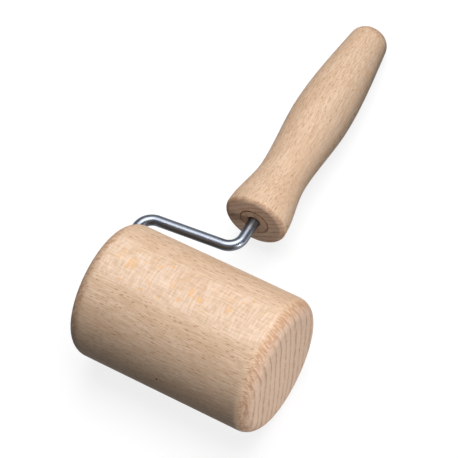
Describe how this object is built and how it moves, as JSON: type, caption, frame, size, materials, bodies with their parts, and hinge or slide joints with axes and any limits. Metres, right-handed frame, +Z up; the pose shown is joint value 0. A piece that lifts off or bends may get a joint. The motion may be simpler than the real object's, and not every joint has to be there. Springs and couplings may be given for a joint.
{
  "type": "pastry roller",
  "caption": "Single-arm pastry roller: a round-edged wooden barrel that spins on a bent steel wire, with a turned wooden grip.",
  "frame": {"origin": "middle of the part's length and width, on the table that the barrel and the grip lie on", "axes": "+Z up; Y along the barrel's axis, with the wire's side arm at +Y and the closed end at -Y; the grip points to +X"},
  "size_m": [0.2106, 0.0957, 0.062],
  "materials": {
    "barrel_beech": "bare sanded beech",
    "grip_beech": "bare sanded beech",
    "plug_beech": "bare beech, glued in",
    "wire_steel": "bright drawn wire",
    "ring_steel": "dull spring steel"
  },
  "bodies": {
    "grip_frame": {"wire_frame": "wire_steel", "handle": "grip_beech", "handle_plug_upper": "plug_beech", "handle_plug_lower": "plug_beech", "handle_lock_ring": "ring_steel", "axle_lock_ring": "ring_steel", "axle_washer": "wire_steel"},
    "roller": {"roller_barrel": "barrel_beech", "roller_plug_upper": "plug_beech", "roller_plug_lower": "plug_beech"}
  },
  "joints": [
    {"name": "roller_spin", "type": "hinge", "parent": "grip_frame", "child": "roller", "pos_m": [-0.07426, 0, 0.031], "axis": [0, 1, 0], "continuous": true}
  ]
}
